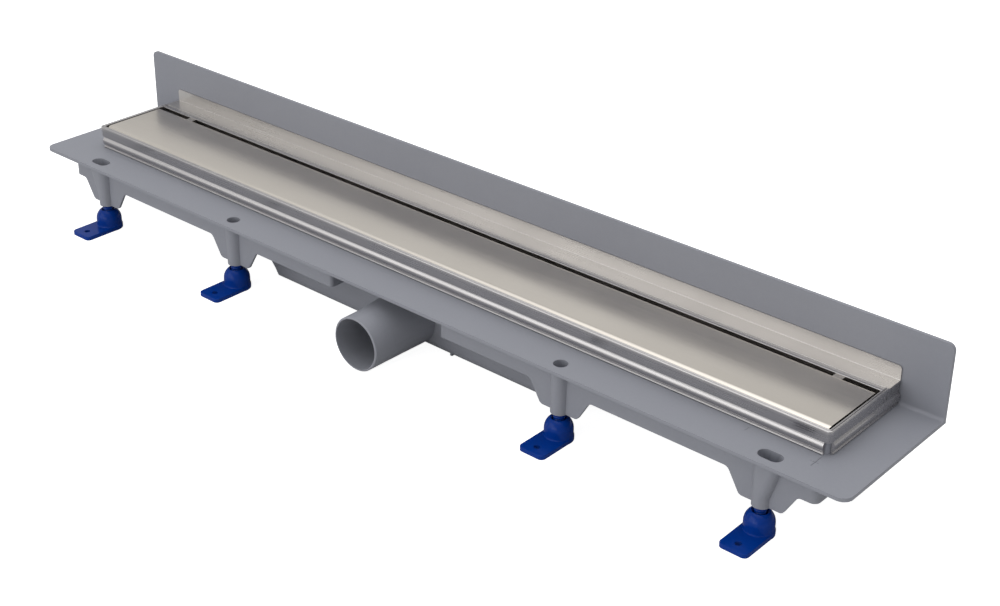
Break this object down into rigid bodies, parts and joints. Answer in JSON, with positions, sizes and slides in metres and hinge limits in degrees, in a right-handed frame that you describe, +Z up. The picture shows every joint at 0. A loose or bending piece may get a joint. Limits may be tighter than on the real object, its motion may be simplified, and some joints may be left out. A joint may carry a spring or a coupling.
{
  "type": "linear shower drain",
  "caption": "Linear shower drain for the wall side: a steel frame and cover plate over a grey plastic channel with a flange, collar, side outlet and blue screw feet.",
  "frame": {"origin": "middle of the whole part's box, on the floor under the feet", "axes": "+X along the drain, +Y towards the wall and the collar, +Z up"},
  "size_m": [0.9284, 0.1668, 0.1359],
  "materials": {
    "channel_plastic": "satin moulded polypropylene",
    "frame_steel": "polished stainless sheet",
    "cover_steel": "fine brushed stainless sheet",
    "foot_plastic": "glossy moulded nylon",
    "spindle_plastic": "moulded thread",
    "trap_plastic": "smooth moulded",
    "seal_rubber": "matt"
  },
  "bodies": {
    "channel": {"channel_body": "channel_plastic", "frame_strip": "frame_steel", "rear_rail": "frame_steel", "wall_angle": "frame_steel", "cover_plate": "cover_steel", "trap_bell": "trap_plastic", "trap_seal": "seal_rubber", "hair_strainer": "trap_plastic"},
    "foot_front_1_body": {"foot_front_1": "foot_plastic"},
    "spindle_front_1_body": {"spindle_front_1": "spindle_plastic"},
    "foot_front_2_body": {"foot_front_2": "foot_plastic"},
    "spindle_front_2_body": {"spindle_front_2": "spindle_plastic"},
    "foot_front_3_body": {"foot_front_3": "foot_plastic"},
    "spindle_front_3_body": {"spindle_front_3": "spindle_plastic"},
    "foot_front_4_body": {"foot_front_4": "foot_plastic"},
    "spindle_front_4_body": {"spindle_front_4": "spindle_plastic"},
    "foot_rear_1_body": {"foot_rear_1": "foot_plastic"},
    "spindle_rear_1_body": {"spindle_rear_1": "spindle_plastic"},
    "foot_rear_2_body": {"foot_rear_2": "foot_plastic"},
    "spindle_rear_2_body": {"spindle_rear_2": "spindle_plastic"},
    "foot_rear_3_body": {"foot_rear_3": "foot_plastic"},
    "spindle_rear_3_body": {"spindle_rear_3": "spindle_plastic"},
    "foot_rear_4_body": {"foot_rear_4": "foot_plastic"},
    "spindle_rear_4_body": {"spindle_rear_4": "spindle_plastic"}
  },
  "joints": [
    {"name": "lift_front_1", "type": "slide", "parent": "channel", "child": "foot_front_1_body", "axis": [0, 0, 1], "range_m": [-0.02, 0.003]},
    {"name": "screw_front_1", "type": "hinge", "parent": "foot_front_1_body", "child": "spindle_front_1_body", "pos_m": [-0.388, -0.04685, 0.012], "axis": [0, 0, 1], "range_deg": [-2900, 450]},
    {"name": "lift_front_2", "type": "slide", "parent": "channel", "child": "foot_front_2_body", "axis": [0, 0, 1], "range_m": [-0.02, 0.003]},
    {"name": "screw_front_2", "type": "hinge", "parent": "foot_front_2_body", "child": "spindle_front_2_body", "pos_m": [-0.1953, -0.04685, 0.012], "axis": [0, 0, 1], "range_deg": [-2900, 450]},
    {"name": "lift_front_3", "type": "slide", "parent": "channel", "child": "foot_front_3_body", "axis": [0, 0, 1], "range_m": [-0.02, 0.003]},
    {"name": "screw_front_3", "type": "hinge", "parent": "foot_front_3_body", "child": "spindle_front_3_body", "pos_m": [0.1953, -0.04685, 0.012], "axis": [0, 0, 1], "range_deg": [-2900, 450]},
    {"name": "lift_front_4", "type": "slide", "parent": "channel", "child": "foot_front_4_body", "axis": [0, 0, 1], "range_m": [-0.02, 0.003]},
    {"name": "screw_front_4", "type": "hinge", "parent": "foot_front_4_body", "child": "spindle_front_4_body", "pos_m": [0.388, -0.04685, 0.012], "axis": [0, 0, 1], "range_deg": [-2900, 450]},
    {"name": "lift_rear_1", "type": "slide", "parent": "channel", "child": "foot_rear_1_body", "axis": [0, 0, 1], "range_m": [-0.02, 0.003]},
    {"name": "screw_rear_1", "type": "hinge", "parent": "foot_rear_1_body", "child": "spindle_rear_1_body", "pos_m": [-0.388, 0.06715, 0.012], "axis": [0, 0, 1], "range_deg": [-2900, 450]},
    {"name": "lift_rear_2", "type": "slide", "parent": "channel", "child": "foot_rear_2_body", "axis": [0, 0, 1], "range_m": [-0.02, 0.003]},
    {"name": "screw_rear_2", "type": "hinge", "parent": "foot_rear_2_body", "child": "spindle_rear_2_body", "pos_m": [-0.1953, 0.06715, 0.012], "axis": [0, 0, 1], "range_deg": [-2900, 450]},
    {"name": "lift_rear_3", "type": "slide", "parent": "channel", "child": "foot_rear_3_body", "axis": [0, 0, 1], "range_m": [-0.02, 0.003]},
    {"name": "screw_rear_3", "type": "hinge", "parent": "foot_rear_3_body", "child": "spindle_rear_3_body", "pos_m": [0.1953, 0.06715, 0.012], "axis": [0, 0, 1], "range_deg": [-2900, 450]},
    {"name": "lift_rear_4", "type": "slide", "parent": "channel", "child": "foot_rear_4_body", "axis": [0, 0, 1], "range_m": [-0.02, 0.003]},
    {"name": "screw_rear_4", "type": "hinge", "parent": "foot_rear_4_body", "child": "spindle_rear_4_body", "pos_m": [0.388, 0.06715, 0.012], "axis": [0, 0, 1], "range_deg": [-2900, 450]}
  ],
  "couplings": [
    {"joint": "screw_front_1", "follows": "lift_front_1", "rad_per_m": 2513.3},
    {"joint": "screw_front_2", "follows": "lift_front_2", "rad_per_m": 2513.3},
    {"joint": "screw_front_3", "follows": "lift_front_3", "rad_per_m": 2513.3},
    {"joint": "screw_front_4", "follows": "lift_front_4", "rad_per_m": 2513.3},
    {"joint": "screw_rear_1", "follows": "lift_rear_1", "rad_per_m": 2513.3},
    {"joint": "screw_rear_2", "follows": "lift_rear_2", "rad_per_m": 2513.3},
    {"joint": "screw_rear_3", "follows": "lift_rear_3", "rad_per_m": 2513.3},
    {"joint": "screw_rear_4", "follows": "lift_rear_4", "rad_per_m": 2513.3}
  ]
}
